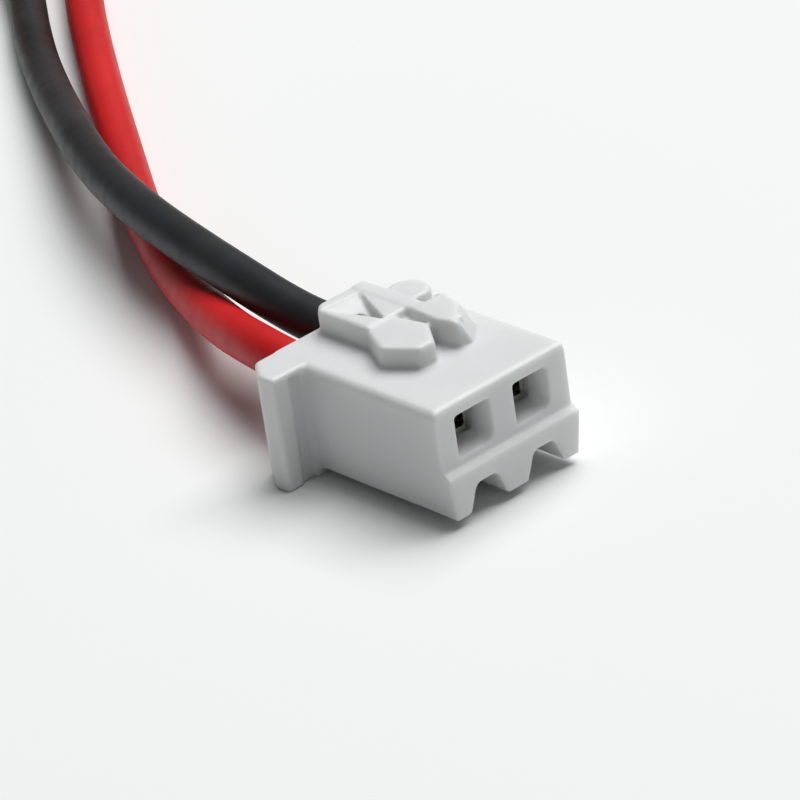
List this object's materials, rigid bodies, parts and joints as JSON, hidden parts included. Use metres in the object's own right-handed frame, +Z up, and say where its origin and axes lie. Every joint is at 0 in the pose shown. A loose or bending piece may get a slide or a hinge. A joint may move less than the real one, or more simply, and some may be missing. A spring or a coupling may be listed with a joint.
{
  "type": "lipo battery pack",
  "caption": "Small single-cell lithium polymer pack with a red and a black lead in a white two-way low-profile crimp plug.",
  "frame": {"origin": "middle of the pack's underside, leads and plug left out", "axes": "+X along the pack towards the end that its leads leave from, +Y across the pack towards the red lead, +Z up from its underside"},
  "size_m": [0.1046, 0.0264, 0.0077],
  "materials": {
    "pouch_foil": "satin",
    "wound_electrodes": "matte",
    "nickel_tab": "satin",
    "aluminium_tab": "satin",
    "tab_film": "satin",
    "weld_plate": "satin",
    "white_foam": "matte",
    "green_board": "satin",
    "chip_black": "matte",
    "resistor_black": "satin",
    "capacitor_tan": "satin",
    "solder": "gloss",
    "tinned_strands": "satin",
    "label_film": "satin",
    "polyimide": "gloss",
    "black_insulation": "satin",
    "red_insulation": "satin",
    "white_nylon": "satin",
    "tinned_contact": "satin"
  },
  "bodies": {
    "root": {"pouch_cup": "pouch_foil", "pouch_tray": "pouch_foil", "electrode_stack": "wound_electrodes", "negative_tab": "nickel_tab", "positive_tab": "aluminium_tab", "negative_tab_film": "tab_film", "positive_tab_film": "tab_film", "negative_weld_plate": "weld_plate", "positive_weld_plate": "weld_plate", "foam_pad": "white_foam", "protection_board": "green_board", "mosfet_chip": "chip_black", "protection_chip": "chip_black", "resistor_1": "resistor_black", "resistor_2": "resistor_black", "capacitor": "capacitor_tan", "black_solder_joint": "solder", "red_solder_joint": "solder", "black_board_strands": "tinned_strands", "red_board_strands": "tinned_strands", "label_sleeve": "label_film", "polyimide_wrap": "polyimide", "black_lead": "black_insulation", "red_lead": "red_insulation", "plug_housing": "white_nylon", "red_contact": "tinned_contact", "black_contact": "tinned_contact", "red_plug_strands": "tinned_strands", "black_plug_strands": "tinned_strands"}
  },
  "joints": []
}
